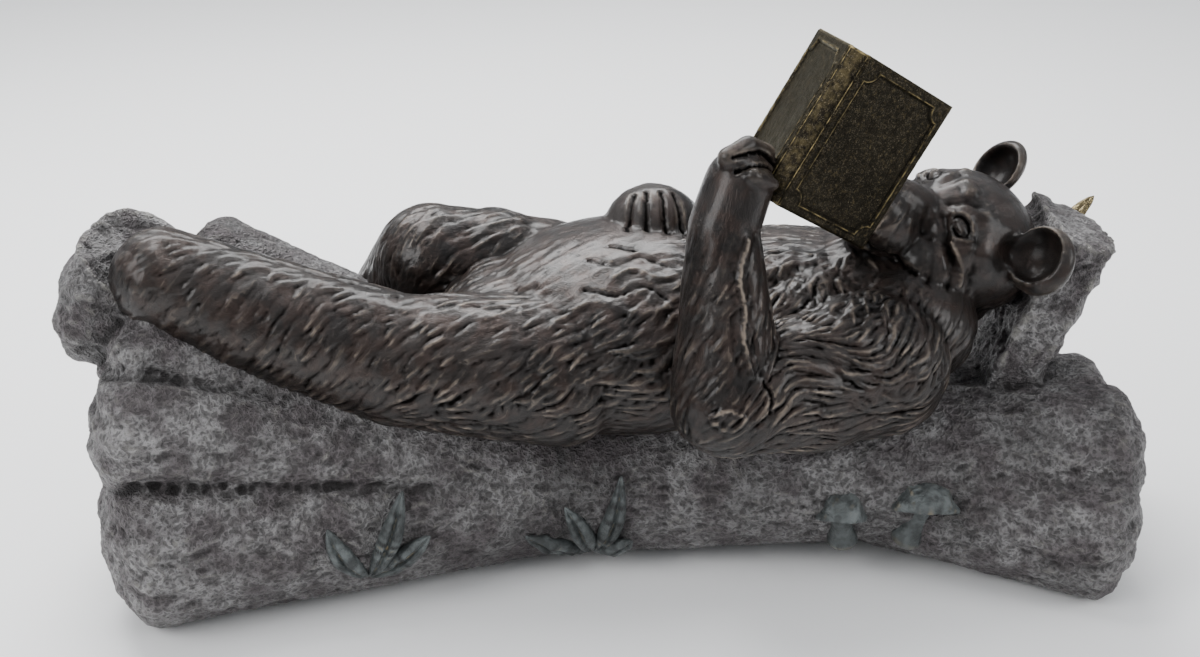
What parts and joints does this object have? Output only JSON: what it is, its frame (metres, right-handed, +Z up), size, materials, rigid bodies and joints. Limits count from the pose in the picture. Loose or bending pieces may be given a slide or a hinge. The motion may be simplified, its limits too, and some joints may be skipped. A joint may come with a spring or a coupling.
{
  "type": "garden statue",
  "caption": "Cast bronze garden statue: a bear lies on its back on a fallen log and reads an open book.",
  "frame": {"origin": "On the log's flat underside, at the trunk's middle line and below the middle of the bear's belly.", "axes": "+X runs along the log from the bear's feet to its head, +Y to the side away from the book, +Z up."},
  "size_m": [1.0956, 0.4572, 0.5645],
  "materials": {
    "log_patina": "matt grey patina on cast bronze",
    "bear_bronze": "dark brown bronze, waxed to a low gloss",
    "book_brass": "antique brass colour with rubbed edges"
  },
  "bodies": {
    "root": {"log": "log_patina", "bear": "bear_bronze", "book": "book_brass"}
  },
  "joints": []
}
